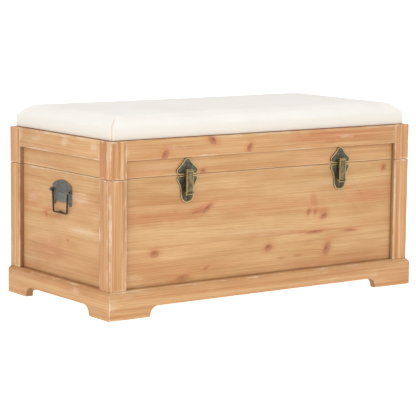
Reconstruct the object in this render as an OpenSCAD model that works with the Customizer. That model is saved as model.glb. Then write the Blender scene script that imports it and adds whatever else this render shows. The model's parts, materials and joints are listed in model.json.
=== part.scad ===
// Storage bench: a panelled wooden chest on a bracket-foot plinth, with a hinged lid that carries
// an upholstered seat, two toggle latches on the front, a drop handle on each end and a folding stay.
// X runs along the bench, +Y points to the back and Z = 0 is the floor under the middle of the plinth.

/* [Overall] */
// Width over the plinth
bench_w = 800; // [640:1:980]
// Depth over the plinth
bench_d = 400; // [330:1:500]
// Height of the wooden top above the floor
wood_top_h = 358; // [295:1:440]
// Height of the lid's wooden frame
lid_h = 76; // [63:1:95]
// Gap between the body and the closed lid
parting_gap = 1; // [0.6:0.1:1.6]

/* [Boards] */
// Thickness of the wall panels
panel_t = 12; // [10:0.5:16]
// Thickness of the stiles and rails laid on the panels
trim_t = 9; // [7:0.5:12]
// Width of a stile
stile_w = 40; // [30:1:50]
// Height of a lid rail
rail_h = 40; // [32:1:46]
// Thickness of the lid's top board and of the chest floor
board_t = 9; // [7:0.5:12]
// Side of a square glue post inside a corner
post_w = 22; // [16:1:28]
// Side of a square batten under the chest floor
batten_w = 20; // [16:1:26]

/* [Plinth] */
// Height of the plinth
plinth_h = 58; // [50:1:75]
// Thickness of the plinth boards
plinth_t = 18; // [15:0.5:22]
// Step from the stiles out to the plinth's face
plinth_step = 6.5; // [4:0.5:9]
// Height of the bevel on the plinth's top edge
bevel_h = 6.5; // [5:0.5:10]
// Length of a foot along the front and back
foot_front = 100; // [80:1:130]
// Length of a foot along the ends
foot_side = 75; // [60:1:95]
// Height of the arch between two feet
arch_h = 22; // [16:1:28]
// Radius of the arch's corners
arch_r = 20; // [10:1:22]

/* [Seat cushion] */
// Height of the cushion above the wooden top
cushion_h = 46; // [38:1:60]
// Height of the cushion's upright side
cushion_side_h = 27; // [20:1:34]
// Setback of the cushion from the lid's edge
cushion_inset = 8; // [5:0.5:16]
// Thickness of the cover with its wadding
cover_t = 1.5; // [1:0.1:3]

/* [Lid hinges] */
// Distance between the middles of the two hinges
hinge_spacing = 480; // [360:1:560]
// Length of a hinge
hinge_len = 50; // [40:1:64]
// Radius of the hinge knuckle
knuckle_r = 2.75; // [2.3:0.05:3.4]
// Radius of the hinge pin
hinge_pin_r = 1.25; // [1:0.05:1.5]
// Radial clearance of the pin in its knuckles
pin_play = 0.05; // [0.02:0.01:0.1]

/* [Lid stay] */
// Height of the lower pivot above the chest floor
stay_low_rise = 50; // [40:1:60]
// Distance of the lower pivot from the back panel
stay_low_back = 90; // [84:1:110]
// Distance of the elbow from the front panel while the lid is shut
stay_elbow_front = 66; // [40:1:90]
// Height of the upper pivot above the hinge axis
stay_up_rise = 41.6; // [34:0.1:48]
// Width of a stay link
link_w = 14; // [12:1:16]
// Thickness of a stay link
link_t = 2; // [1.5:0.1:2.5]

/* [Latches] */
// Distance between the middles of the two latches
latch_spacing = 404; // [320:1:480]
// Width of the lever's face plate
lever_w = 17; // [14:0.2:21]
// Standoff of the lever's face from the panel
lever_out = 12; // [11.5:0.1:14]
// Height of the lever's top above the parting line
lever_rise = 9; // [7.5:0.5:10]
// Depth of the lever's face plate below the parting line
lever_drop = 35; // [30:0.5:36]
// Height of the claw's bend above the parting line
claw_rise = 12.5; // [11.5:0.5:15]
// Depth of the lever's pivot below the parting line
pivot_drop = 36; // [34:0.5:40]

/* [Handles] */
// Depth of the handle's pivot below the top of the body
handle_drop = 40.5; // [34:0.5:46]
// Half width of the handle plate
handle_half = 37.5; // [34:0.5:42]
// Reach of the handle's grip below its pivot
bail_reach = 46.5; // [40:0.5:56]
// Standoff of the handle's pivot from the panel
handle_out = 6; // [5.8:0.1:8]

/* [Hidden] */
$fn = 48;
eps = 0.01;

pine = [0.84, 0.65, 0.42];
pine_trim = [0.82, 0.58, 0.40];
pine_inner = [0.88, 0.73, 0.52];
cream = [0.94, 0.92, 0.86];
bronze = [0.42, 0.40, 0.34];
brass_edge = [0.62, 0.56, 0.38];
steel = [0.66, 0.66, 0.64];

// wooden walls
half_w = bench_w / 2;
half_d = bench_d / 2;
trim_x = half_w - plinth_step;
trim_front = -half_d + plinth_step;
outer_x = trim_x - trim_t;
inner_x = outer_x - panel_t;
outer_front = trim_front + trim_t;
inner_front = outer_front + panel_t;
outer_back = half_d;
inner_back = outer_back - panel_t;
lid_bottom = wood_top_h - lid_h;
body_top = lid_bottom - parting_gap;
parting_z = (lid_bottom + body_top) / 2;
floor_top = plinth_h + board_t;
lid_inner_top = wood_top_h - board_t;

// hinge axis: just behind the back, level with the parting line
leaf_t = 1;
hinge_gap = 0.15;
axis_y = outer_back + hinge_gap + knuckle_r;
leaf_depth = 10.5;
leaf_front = outer_back - leaf_depth;
knuckle_play = 0.2;
screw_r = 1.4;
screw_len = 16;
screw_head_r = 2.6;
screw_head_h = 0.9;
screw_slot = [3.2, 0.8, 0.55];

// stay: both pivots and the hinge axis make a parallelogram, so each link turns as the lid does
stay_low = [inner_back - stay_low_back, floor_top + stay_low_rise];
stay_reach = stay_low[0] - inner_front - stay_elbow_front;
stay_up = [axis_y - stay_reach, parting_z + stay_up_rise];
stay_elbow = stay_low + stay_up - [axis_y, parting_z];
stay_gap = 0.5;
stay_boss_h = 2;
low_link_x = inner_x - stay_boss_h - link_t;
up_link_x = low_link_x - stay_gap - link_t;
stay_pin_r = 2.4;
stay_play = 0.1;
stay_head_r = 4.2;
stay_head_h = 1.2;

// nails of the latches and handles
nail_r = 1;
nail_head_r = 2.4;
nail_head_h = 1.2;
nail_len = 9;
bore_play = 0.05;

// latch: heights count from the parting line and depths from the panel's face
plate_t = 1.5;
rim_t = 2.6;
rim_w = 2;
keeper_h = 35;
keeper_tip_r = 9.8;
keeper_lobe = [19, 8.6];
keeper_lobe_r = 7.6;
base_h = 57;
base_lobe = [19.4, -7.8];
base_lobe_r = 6.2;
base_waist = 15.8;
sheet_t = 1.2;
lever_play = 0.3;
lever_in = lever_out - sheet_t;
flange_depth = 4;
pivot_out = 8.5;
rivet_r = 1.5;
rivet_head_r = 2.3;
throw = 3;
claw_pin_r = 0.9;
claw_t = 1;
claw_roll_r = 1.7;
claw_out = 4.7;
claw_w = lever_w - 2 * (sheet_t + lever_play);
claw_window = 9;
claw_play = 0.5;
lug_w = claw_window - 2 * claw_play;
lug_top = 6.5;
ear_in = lever_w / 2 + lever_play;
nail_high = 29;
nail_low = -49;

// handle: heights count from its pivot and depths from the panel's face
handle_plate_t = 1.6;
handle_top = 22.5;
handle_corner = 11;
wing_r = 6.4;
wing_drop = 24;
ear_w = 6;
ear_r = 3.8;
stub_r = 1.8;
bail_t = 2.4;
bail_half = handle_half - ear_w - 1;
bail_leg_w = 3.2;
grip_w = 2.6;
grip_swell = 3.0;
handle_nails_at = [[-29, -24], [29, -24], [-27, 12.5], [27, 12.5]];

function arc(c, r, a0, a1, n = 10) =
    [for (i = [0:n]) let (a = a0 + (a1 - a0) * i / n) c + r * [cos(a), sin(a)]];
function bend(a, b, c, n = 8) =
    [for (i = [1:n - 1]) let (t = i / n) a * pow(1 - t, 2) + b * 2 * t * (1 - t) + c * pow(t, 2)];
function mirrored(pts) = concat(pts, [for (i = [len(pts) - 1:-1:0]) [-pts[i][0], pts[i][1]]]);

// a board between two corners
module board(low, high) {
    translate(low) cube(high - low);
}

// ---------- plinth ----------

module arched_outline(length, foot) {
    gap = length - 2 * foot;
    difference() {
        translate([-length / 2, 0]) square([length, plinth_h]);
        translate([-gap / 2, -1]) square([gap, arch_h - arch_r + 1]);
        translate([-gap / 2 + arch_r, -1]) square([gap - 2 * arch_r, arch_h + 1]);
        for (s = [-1, 1]) translate([s * (gap / 2 - arch_r), arch_h - arch_r]) circle(arch_r);
    }
}

// section of a plinth board: its outer face is at 0 and its inner face at -plinth_t
module bevelled_section() {
    polygon([[0, 0], [0, plinth_h - bevel_h], [-plinth_step, plinth_h], [-plinth_t, plinth_h],
        [-plinth_t, 0]]);
}

// plinth board along X, outer face at y = 0 facing -Y, ends mitred inwards where mitre is 1
module plinth_board(length, foot, mitre) {
    cut = mitre * plinth_t;
    intersection() {
        rotate([90, 0, 0]) translate([0, 0, -plinth_t]) linear_extrude(plinth_t)
            arched_outline(length, foot);
        translate([-length / 2, 0, 0]) rotate([90, 0, 90]) linear_extrude(length)
            mirror([1, 0]) bevelled_section();
        linear_extrude(plinth_h) polygon([[-length / 2, 0], [length / 2, 0],
            [length / 2 - cut, plinth_t], [-length / 2 + cut, plinth_t]]);
    }
}

// end board: mitred at the front only, running past the back board
module plinth_end(side) {
    translate([side * half_w, 0, 0]) rotate([0, 0, side * 90]) intersection() {
        rotate([90, 0, 0]) translate([0, 0, -plinth_t]) linear_extrude(plinth_t)
            arched_outline(bench_d, foot_side);
        translate([-half_d, 0, 0]) rotate([90, 0, 90]) linear_extrude(bench_d)
            mirror([1, 0]) bevelled_section();
        linear_extrude(plinth_h) polygon([[-half_d, 0], [half_d, 0],
            [half_d - (side < 0 ? plinth_t : 0), plinth_t],
            [-half_d + (side > 0 ? plinth_t : 0), plinth_t]]);
    }
}

module plinth_front() color(pine_trim) translate([0, -half_d, 0]) plinth_board(bench_w, foot_front, 1);
module plinth_left() color(pine_trim) plinth_end(-1);
module plinth_right() color(pine_trim) plinth_end(1);

module plinth_back() {
    length = bench_w - 2 * plinth_t;
    color(pine_trim) translate([0, half_d, 0]) rotate([90, 0, 0]) linear_extrude(plinth_t)
        arched_outline(length, foot_front - plinth_t);
}

module base_battens() {
    far_x = half_w - plinth_t;
    far_y = half_d - plinth_t;
    low = plinth_h - batten_w;
    color(pine_inner) {
        for (s = [-1, 1]) {
            y = s * (far_y - batten_w / 2);
            x = s * (far_x - batten_w / 2);
            board([-far_x, y - batten_w / 2, low], [far_x, y + batten_w / 2, plinth_h]);
            board([x - batten_w / 2, -far_y + batten_w, low], [x + batten_w / 2, far_y - batten_w, plinth_h]);
        }
    }
}

// ---------- body ----------

module body_front_panel() {
    color(pine) difference() {
        board([-outer_x, outer_front, plinth_h], [outer_x, inner_front, body_top]);
        base_nail_places() nail_bore();
    }
}

module body_back_panel() {
    color(pine) difference() {
        board([-outer_x, inner_back, plinth_h], [outer_x, outer_back, body_top]);
        leaf_recess(body_top - leaf_t);
        hinge_screw_places() translate([0, 0, body_top - leaf_t]) mirror([0, 0, 1]) screw_bore();
    }
}

module body_end_panel(side) {
    color(pine) difference() {
        board([min(side * inner_x, side * outer_x), inner_front, plinth_h],
            [max(side * inner_x, side * outer_x), inner_back, body_top]);
        handle_nail_places(side) nail_bore();
    }
}

module body_left_panel() body_end_panel(-1);
module body_right_panel() body_end_panel(1);

module chest_floor() {
    color(pine_inner) board([-inner_x, inner_front, plinth_h], [inner_x, inner_back, floor_top]);
}

module corner_posts() {
    color(pine_inner) for (s = [-1, 1]) {
        x = s * (inner_x - post_w / 2);
        for (y = [inner_front + post_w / 2, inner_back - post_w / 2])
            board([x - post_w / 2, y - post_w / 2, floor_top], [x + post_w / 2, y + post_w / 2, body_top]);
    }
}

// ---------- stiles and rails ----------

// stile on the front, which covers the edge of the stile round the corner
module front_stile(side, low, high) {
    x = side * (trim_x - stile_w / 2);
    color(pine_trim) board([x - stile_w / 2, trim_front, low], [x + stile_w / 2, outer_front, high]);
}

module end_stile(side, rear, low, high) {
    y0 = rear ? outer_back - stile_w : outer_front;
    y1 = rear ? outer_back : trim_front + stile_w;
    x = side * (trim_x - trim_t / 2);
    color(pine_trim) board([x - trim_t / 2, y0, low], [x + trim_t / 2, y1, high]);
}

module front_stile_left() front_stile(-1, plinth_h, body_top);
module front_stile_right() front_stile(1, plinth_h, body_top);
module left_stile_front() end_stile(-1, false, plinth_h, body_top);
module left_stile_rear() end_stile(-1, true, plinth_h, body_top);
module right_stile_front() end_stile(1, false, plinth_h, body_top);
module right_stile_rear() end_stile(1, true, plinth_h, body_top);
module lid_front_stile_left() front_stile(-1, lid_bottom, wood_top_h);
module lid_front_stile_right() front_stile(1, lid_bottom, wood_top_h);
module lid_left_stile_front() end_stile(-1, false, lid_bottom, wood_top_h);
module lid_left_stile_rear() end_stile(-1, true, lid_bottom, wood_top_h);
module lid_right_stile_front() end_stile(1, false, lid_bottom, wood_top_h);
module lid_right_stile_rear() end_stile(1, true, lid_bottom, wood_top_h);

module lid_rail_front() {
    x = trim_x - stile_w;
    color(pine_trim) board([-x, trim_front, wood_top_h - rail_h], [x, outer_front, wood_top_h]);
}

module lid_rail_end(side) {
    x = side * (trim_x - trim_t / 2);
    color(pine_trim) board([x - trim_t / 2, trim_front + stile_w, wood_top_h - rail_h],
        [x + trim_t / 2, outer_back - stile_w, wood_top_h]);
}

module lid_rail_left() lid_rail_end(-1);
module lid_rail_right() lid_rail_end(1);

// ---------- lid ----------

module lid_top_board() {
    color(pine_inner) board([-outer_x, outer_front, lid_inner_top], [outer_x, outer_back, wood_top_h]);
}

module lid_front_panel() {
    color(pine) difference() {
        board([-outer_x, outer_front, lid_bottom], [outer_x, inner_front, lid_inner_top]);
        keeper_nail_places() nail_bore();
    }
}

module lid_back_panel() {
    color(pine) difference() {
        board([-outer_x, inner_back, lid_bottom], [outer_x, outer_back, lid_inner_top]);
        leaf_recess(lid_bottom);
        hinge_screw_places() translate([0, 0, lid_bottom + leaf_t]) screw_bore();
    }
}

module lid_end_panel(side) {
    x = side * (outer_x - panel_t / 2);
    color(pine) board([x - panel_t / 2, inner_front, lid_bottom],
        [x + panel_t / 2, inner_back, lid_inner_top]);
}

module lid_left_panel() lid_end_panel(-1);
module lid_right_panel() lid_end_panel(1);

// ---------- seat cushion ----------

cushion_x = trim_x - cushion_inset;
cushion_front = trim_front + cushion_inset;
cushion_back = half_d - cushion_inset;
cushion_corner_r = 5;
crown_in = 12;
crown_top_in = 34;
crown_h = 38;
soft_gap = 0.3;

// slice of the cushion between two heights, set in all round
module cushion_slice(inset, low, high) {
    r = max(cushion_corner_r - inset, 2);
    for (x = [-1, 1], y = [cushion_front + inset + r, cushion_back - inset - r])
        translate([x * (cushion_x - inset - r), y, wood_top_h + low])
            cylinder(r = r, h = high - low, $fn = 32);
}

// rounded cushion form, shrunk all round by inset
module cushion_form(inset, low) {
    shoulder = crown_h * cushion_h / 46;
    hull() {
        cushion_slice(inset, low, cushion_side_h - inset / 2);
        cushion_slice(inset + crown_in, low, shoulder - inset);
        cushion_slice(inset + crown_top_in, low, cushion_h - 3 - inset);
        cushion_slice(inset + 2 * crown_top_in, low, cushion_h - inset);
    }
}

module cushion_board() {
    inset = cover_t + soft_gap;
    low = cover_t + 0.01;
    r = cushion_corner_r - inset;
    x = cushion_x - inset;
    y0 = cushion_front + inset;
    y1 = cushion_back - inset;
    color(pine_inner) {
        cushion_slice(inset, low, low + board_t);
        translate([0, 0, wood_top_h]) {
            board([-x + r, y0, low], [x - r, y1, low + board_t]);
            board([-x, y0 + r, low], [x, y1 - r, low + board_t]);
        }
    }
}

module cushion_foam() color("khaki") cushion_form(cover_t + soft_gap, cover_t + board_t + soft_gap);

module cushion_cover() {
    color(cream) difference() {
        cushion_form(0, 0);
        cushion_form(cover_t, cover_t);
    }
}

// ---------- nails and screws ----------

// nail driven towards +Y from the surface at y = 0
module nail() {
    rotate([90, 0, 0]) {
        intersection() {
            cylinder(r = nail_head_r, h = nail_head_h);
            translate([0, 0, nail_head_h - 3.2]) sphere(3.2);
        }
        translate([0, 0, -nail_len]) cylinder(r = nail_r, h = nail_len + eps);
    }
}

module nail_bore() {
    translate([0, -4, 0]) rotate([-90, 0, 0]) cylinder(r = nail_r + bore_play, h = nail_len + 5);
}

// cross-slotted screw driven towards +Z, its head flush with the leaf's face below
module screw() {
    translate([0, 0, -leaf_t]) difference() {
        union() {
            cylinder(r = screw_head_r, h = screw_head_h);
            cylinder(r = screw_r, h = screw_len + leaf_t);
        }
        for (a = [0, 90]) rotate([0, 0, a + 20]) translate([-screw_slot[0] / 2, -screw_slot[1] / 2, -1])
            cube([screw_slot[0], screw_slot[1], screw_slot[2] + 1]);
    }
}

module screw_bore() {
    translate([0, 0, -eps]) cylinder(r = screw_r + bore_play, h = screw_len + 1);
}

// ---------- hinges ----------

module each_hinge() {
    for (s = [-1, 1]) translate([s * hinge_spacing / 2, 0, 0]) children();
}

module hinge_screw_places() {
    each_hinge() for (s = [-1, 1]) translate([s * hinge_len * 0.3, outer_back - panel_t / 2, 0]) children();
}

// recess for a leaf in a panel's edge, from low upwards
module leaf_recess(low) {
    start = [-hinge_len / 2 - pin_play, leaf_front - pin_play, low - (low > parting_z ? 1 : 0)];
    each_hinge() translate(start) cube([hinge_len + 2 * pin_play, leaf_depth + 1, leaf_t + 1]);
}

// leaf with its knuckles between the given shares of the hinge's length
module hinge_leaf(low, spans) {
    start = -hinge_len / 2;
    difference() {
        union() {
            translate([start, leaf_front, low]) cube([hinge_len, outer_back - leaf_front, leaf_t]);
            for (s = spans) translate([start + s[0] * hinge_len + (s[0] > 0 ? knuckle_play : 0), 0, 0]) {
                w = (s[1] - s[0]) * hinge_len - (s[0] > 0 ? knuckle_play : 0) - (s[1] < 1 ? knuckle_play : 0);
                translate([0, axis_y, parting_z]) rotate([0, 90, 0]) cylinder(r = knuckle_r, h = w);
                translate([0, outer_back - 1, low]) cube([w, axis_y - outer_back + 1, leaf_t]);
            }
        }
        translate([start - 1, axis_y, parting_z]) rotate([0, 90, 0])
            cylinder(r = hinge_pin_r + pin_play, h = hinge_len + 2);
        for (s = [-1, 1]) translate([s * hinge_len * 0.3, outer_back - panel_t / 2, low]) {
            translate([0, 0, -1]) cylinder(r = screw_r + bore_play, h = leaf_t + 2);
            translate([0, 0, low > parting_z ? -eps : leaf_t - screw_head_h])
                cylinder(r = screw_head_r + bore_play, h = screw_head_h + eps);
        }
    }
}

module hinge_body_leaves() {
    color(steel) each_hinge() hinge_leaf(body_top - leaf_t, [[0, 0.28], [0.72, 1]]);
}

module hinge_lid_leaves() {
    color(steel) each_hinge() hinge_leaf(lid_bottom, [[0.28, 0.72]]);
}

module hinge_pins() {
    color(steel) each_hinge() translate([-hinge_len / 2 - 0.6, axis_y, parting_z]) rotate([0, 90, 0])
        cylinder(r = hinge_pin_r, h = hinge_len + 1.2);
}

module hinge_body_screws() {
    color(steel) hinge_screw_places() translate([0, 0, body_top - leaf_t]) mirror([0, 0, 1]) screw();
}

module hinge_lid_screws() {
    color(steel) hinge_screw_places() translate([0, 0, lid_bottom + leaf_t]) screw();
}

// ---------- folding stay on the right ----------

// flat link between two points of the (y, z) plane, from x upwards
module link(a, b, x) {
    d = b - a;
    turn = atan2(d[1], d[0]);
    translate([x, a[0], a[1]]) rotate([turn, 0, 0]) difference() {
        union() {
            translate([0, 0, -link_w / 2]) cube([link_t, norm(d), link_w]);
            for (y = [0, norm(d)]) translate([0, y, 0]) rotate([0, 90, 0])
                cylinder(r = link_w / 2, h = link_t);
        }
        for (y = [0, norm(d)]) translate([-1, y, 0]) rotate([0, 90, 0])
            cylinder(r = stay_pin_r + stay_play, h = link_t + 2);
    }
}

module pivot(p, x0, x1, r) {
    translate([x0, p[0], p[1]]) rotate([0, 90, 0]) cylinder(r = r, h = x1 - x0);
}

module stay_lower_link() color(steel) link(stay_low, stay_elbow, low_link_x);
module stay_upper_link() color(steel) link(stay_elbow, stay_up, up_link_x);

// the rivet is set in the lower link and turns in the upper one
module stay_elbow_rivet() {
    out = low_link_x + link_t;
    color(steel) {
        pivot(stay_elbow, out, out + stay_head_h, stay_head_r);
        pivot(stay_elbow, up_link_x - stay_play, out + eps, stay_pin_r);
        pivot(stay_elbow, up_link_x - stay_play - stay_head_h, up_link_x - stay_play, stay_head_r);
    }
}

// boss on the wall, pin through the link and a head that keeps the link on
module stay_pivot(p, link_x) {
    color(steel) {
        pivot(p, link_x + link_t + stay_play, inner_x, stay_head_r + 1.5);
        pivot(p, link_x - stay_play, inner_x, stay_pin_r);
        pivot(p, link_x - stay_play - stay_head_h, link_x - stay_play, stay_head_r);
    }
}

module stay_body_pivot() stay_pivot(stay_low, low_link_x);
module stay_lid_pivot() stay_pivot(stay_up, up_link_x);

// ---------- latches ----------

module each_latch() {
    for (s = [-1, 1]) at_latch(s) children();
}

// frame of a latch: origin on the panel's face at the parting line, -Y outwards
module at_latch(side) {
    translate([side * latch_spacing / 2, outer_front, parting_z]) children();
}

// solid of a front-view outline between two depths out from the panel
module out_plate(o0, o1) {
    translate([0, -o0, 0]) rotate([90, 0, 0]) linear_extrude(o1 - o0) children();
}

// solid of a side-view outline drawn in (depth, height), w wide about the middle
module side_strip(w) {
    translate([w / 2, 0, 0]) rotate([90, 0, -90]) linear_extrude(w) children();
}

function keeper_half(e) = let (low = parting_gap / 2 + 0.2 + e, tip = [0, keeper_h - keeper_tip_r])
    concat([[0, low]], arc(keeper_lobe, keeper_lobe_r - e, -75, 30),
        bend(keeper_lobe + (keeper_lobe_r - e) * [cos(30), sin(30)], [18 - e, 19 - e / 2],
            [11 - e, 26.5 - e / 2]),
        arc(tip, keeper_tip_r - e, 14, 90));

function base_half(e) = let (side = base_waist - e, high = -parting_gap / 2 - 0.2 - e)
    concat([[0, high]], arc(base_lobe, base_lobe_r - e, 80, -40),
        bend(base_lobe + (base_lobe_r - e) * [cos(40), -sin(40)], [side + 1, -22], [side, -34]),
        [for (a = [0:10:90]) [side * cos(a), -42 - (base_h - e - 42) * sin(a)]]);

module keeper_outline(e) polygon(mirrored(keeper_half(e)));
module base_outline(e) polygon(mirrored(base_half(e)));

module keeper_nail_places() {
    each_latch() {
        for (s = [-1, 1]) translate([s * keeper_lobe[0], 0, keeper_lobe[1]]) children();
        translate([0, 0, nail_high]) children();
    }
}

module base_nail_places() {
    each_latch() {
        for (s = [-1, 1]) translate([s * base_lobe[0], 0, base_lobe[1]]) children();
        translate([0, 0, nail_low]) children();
    }
}

module plate_nail_bore(x, z) {
    translate([x, 0, z]) rotate([90, 0, 0]) translate([0, 0, -1])
        cylinder(r = nail_r + bore_play, h = rim_t + 2);
}

module latch_keeper() {
    color(bronze) difference() {
        union() {
            out_plate(0, plate_t) keeper_outline(0);
            out_plate(plate_t - eps, rim_t) difference() {
                keeper_outline(0);
                keeper_outline(rim_w);
            }
            side_strip(lug_w) polygon([[plate_t - eps, 1.5], [8, 1.5], [8, lug_top], [6.8, lug_top],
                [6.8, 3.6], [plate_t - eps, 3.6]]);
        }
        for (s = [-1, 1]) plate_nail_bore(s * keeper_lobe[0], keeper_lobe[1]);
        plate_nail_bore(0, nail_high);
    }
}

module latch_base() {
    ear = [pivot_out, -pivot_drop];
    ear_r = 2.6;
    nose_r = 6.4;
    color(bronze) difference() {
        union() {
            out_plate(0, plate_t) base_outline(0);
            out_plate(plate_t - eps, rim_t) difference() {
                base_outline(0);
                base_outline(rim_w);
            }
            for (s = [-1, 1]) translate([s * (ear_in + sheet_t / 2), 0, 0]) side_strip(sheet_t) {
                translate(ear) circle(ear_r);
                translate([plate_t - eps, -pivot_drop - ear_r]) square([pivot_out - plate_t, 2 * ear_r]);
            }
            out_plate(plate_t - eps, 4.6) intersection() {
                translate([0, -48]) difference() {
                    circle(nose_r);
                    circle(nose_r - 2);
                }
                translate([-10, -60]) square([20, 16]);
            }
        }
        for (s = [-1, 1]) {
            plate_nail_bore(s * base_lobe[0], base_lobe[1]);
            translate([s * (ear_in + sheet_t / 2), -pivot_out, -pivot_drop]) rotate([0, 90, 0])
                cylinder(r = rivet_r + pin_play, h = 2 * sheet_t, center = true);
        }
        plate_nail_bore(0, nail_low);
    }
}

// channel-shaped lever: face plate, two flanges on the rivets and the claw's pin below them
module latch_lever() {
    flange_r = 2.6;
    flange_x = lever_w / 2 - sheet_t / 2;
    color(bronze) difference() {
        union() {
            out_plate(lever_in, lever_out) polygon(mirrored(concat([[0, -lever_drop]],
                [[lever_w / 2, -lever_drop]], arc([lever_w / 2 - 1.5, lever_rise - 1.5], 1.5, 0, 90, 4))));
            for (s = [-1, 1]) translate([s * flange_x, 0, 0]) side_strip(sheet_t) {
                translate([pivot_out, -pivot_drop]) circle(flange_r);
                translate([pivot_out, -pivot_drop - throw]) circle(flange_r);
                translate([pivot_out - flange_r, -pivot_drop - throw]) square([2 * flange_r, throw]);
                polygon([[pivot_out - flange_r, -pivot_drop], [pivot_out + flange_r, -pivot_drop],
                    [lever_in + eps, -lever_drop], [lever_in + eps, lever_rise - 1.5],
                    [lever_in - flange_depth, lever_rise - 1.5], [lever_in - flange_depth, -26]]);
            }
            translate([-flange_x, -pivot_out, -pivot_drop - throw]) rotate([0, 90, 0])
                cylinder(r = claw_pin_r, h = 2 * flange_x);
        }
        for (s = [-1, 1]) translate([s * flange_x, -pivot_out, -pivot_drop]) rotate([0, 90, 0])
            cylinder(r = rivet_r + pin_play, h = 2 * sheet_t, center = true);
    }
}

// strap claw: rolled round its pin, up past the parting line and bent over in front of the lug
module latch_claw() {
    pin = [pivot_out, -pivot_drop - throw];
    bend_r = (lever_in - 0.5 - claw_out) / 2;
    bend_c = [claw_out + bend_r, claw_rise - bend_r];
    knee = [claw_out, -pivot_drop + 6];
    roll = [pin[0] - claw_roll_r, pin[1]];
    color(brass_edge) difference() {
        side_strip(claw_w) difference() {
            union() {
                translate(pin) circle(claw_roll_r);
                polygon([roll, roll + [claw_t, 0], knee + [claw_t, 0], knee]);
                translate(knee) square([claw_t, bend_c[1] - knee[1]]);
                intersection() {
                    translate(bend_c) difference() {
                        circle(bend_r);
                        circle(bend_r - claw_t);
                    }
                    translate([0, bend_c[1]]) square(20);
                }
                translate([bend_c[0] + bend_r - claw_t, lug_top - 3])
                    square([claw_t, bend_c[1] - lug_top + 3 + eps]);
            }
            translate(pin) circle(claw_pin_r + pin_play);
        }
        translate([-claw_window / 2, -(lever_in - 0.5 - claw_t), -6])
            cube([claw_window, lever_in, 7 + claw_rise]);
    }
}

module left_latch_keeper() at_latch(-1) latch_keeper();
module right_latch_keeper() at_latch(1) latch_keeper();
module left_latch_base() at_latch(-1) latch_base();
module right_latch_base() at_latch(1) latch_base();
module left_latch_lever() at_latch(-1) latch_lever();
module right_latch_lever() at_latch(1) latch_lever();
module left_latch_claw() at_latch(-1) latch_claw();
module right_latch_claw() at_latch(1) latch_claw();

module latch_rivets() {
    color(brass_edge) each_latch() for (s = [-1, 1])
        translate([0, -pivot_out, -pivot_drop]) rotate([0, s * 90, 0]) {
            translate([0, 0, lever_w / 2 - sheet_t]) cylinder(r = rivet_r, h = 2 * sheet_t + lever_play);
            translate([0, 0, ear_in + sheet_t]) cylinder(r = rivet_head_r, h = 0.7);
        }
}

module keeper_nails() color(brass_edge) keeper_nail_places() translate([0, -plate_t, 0]) nail();

// ---------- end handles ----------

// frame of a handle: origin on the end panel's face at the pivot's height, -Y outwards
module at_handle(side) {
    translate([side * outer_x, 0, body_top - handle_drop]) rotate([0, 0, side * 90]) children();
}

module handle_nail_places(side) {
    at_handle(side) for (p = handle_nails_at) translate([p[0], 0, p[1]]) children();
}

function handle_half_outline() = concat(
    [for (a = [0:6]) let (x = handle_half * a / 6)
        [x, handle_top - (handle_top - handle_corner) * pow(x / handle_half, 2)]],
    arc([handle_half - wing_r, -wing_drop], wing_r, 0, -180),
    bend([handle_half - 2 * wing_r, -wing_drop], [handle_half - 2 * wing_r - 2, -wing_drop + 1],
        [12, -wing_drop + 1.5]),
    [[0, -wing_drop - 0.5]]);

module handle_plate(side) {
    swag_r = 34;
    color(bronze) at_handle(side) difference() {
        union() {
            out_plate(0, handle_plate_t) polygon(mirrored(handle_half_outline()));
            out_plate(handle_plate_t - eps, handle_plate_t + 0.9) intersection() {
                translate([0, swag_r - 7]) difference() {
                    circle(swag_r);
                    circle(swag_r - 2.4);
                }
                translate([-22, -8]) square([44, 9]);
            }
            for (s = [-1, 1]) translate([s * (handle_half - ear_w / 2), 0, 0]) side_strip(ear_w) {
                translate([handle_out, 0]) circle(ear_r);
                translate([0.5, ear_r - 1.4]) square([handle_out - 0.5, 1.4]);
            }
        }
        for (s = [-1, 1]) translate([s * (handle_half - ear_w / 2), -handle_out, 0]) rotate([0, 90, 0])
            cylinder(r = stub_r + pin_play, h = ear_w + 2, center = true);
        for (p = handle_nails_at) plate_nail_bore(p[0], p[1]);
    }
}

// edge of the grip at a distance x from the middle: a low swell in the centre
function grip_top(x) = -bail_reach + grip_w + grip_swell * exp(-pow(x / 9, 2));

module bail_outline() {
    foot = bail_half - 2.5;
    outer = concat([[bail_half, 1.8], [bail_half, -6]], arc([foot - 4, -bail_reach + 4], 4, 0, -90, 6));
    inner = concat([for (i = [0:12]) let (x = (foot - bail_leg_w) * i / 12) [x, grip_top(x)]],
        [[bail_half - bail_leg_w, -6], [bail_half - bail_leg_w, 1.8]]);
    difference() {
        polygon(mirrored(concat([[0, 1.8]], outer)));
        polygon(concat([[0, 3]], [for (i = [len(inner) - 1:-1:0]) [-inner[i][0], inner[i][1]]],
            inner, [[bail_half - bail_leg_w, 3], [-bail_half + bail_leg_w, 3]]));
    }
}

module handle_bail(side) {
    color(bronze) at_handle(side) {
        out_plate(handle_out - bail_t / 2, handle_out + bail_t / 2) bail_outline();
        for (s = [-1, 1]) translate([s * (bail_half - 2), -handle_out, 0]) rotate([0, s * 90, 0])
            cylinder(r = stub_r, h = handle_half - bail_half + 2 - 0.5);
    }
}

module left_handle_plate() handle_plate(-1);
module right_handle_plate() handle_plate(1);
module left_handle_bail() handle_bail(-1);
module right_handle_bail() handle_bail(1);

module body_nails() {
    color(brass_edge) {
        base_nail_places() translate([0, -plate_t, 0]) nail();
        for (side = [-1, 1]) handle_nail_places(side) translate([0, -handle_plate_t, 0]) nail();
    }
}

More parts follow.
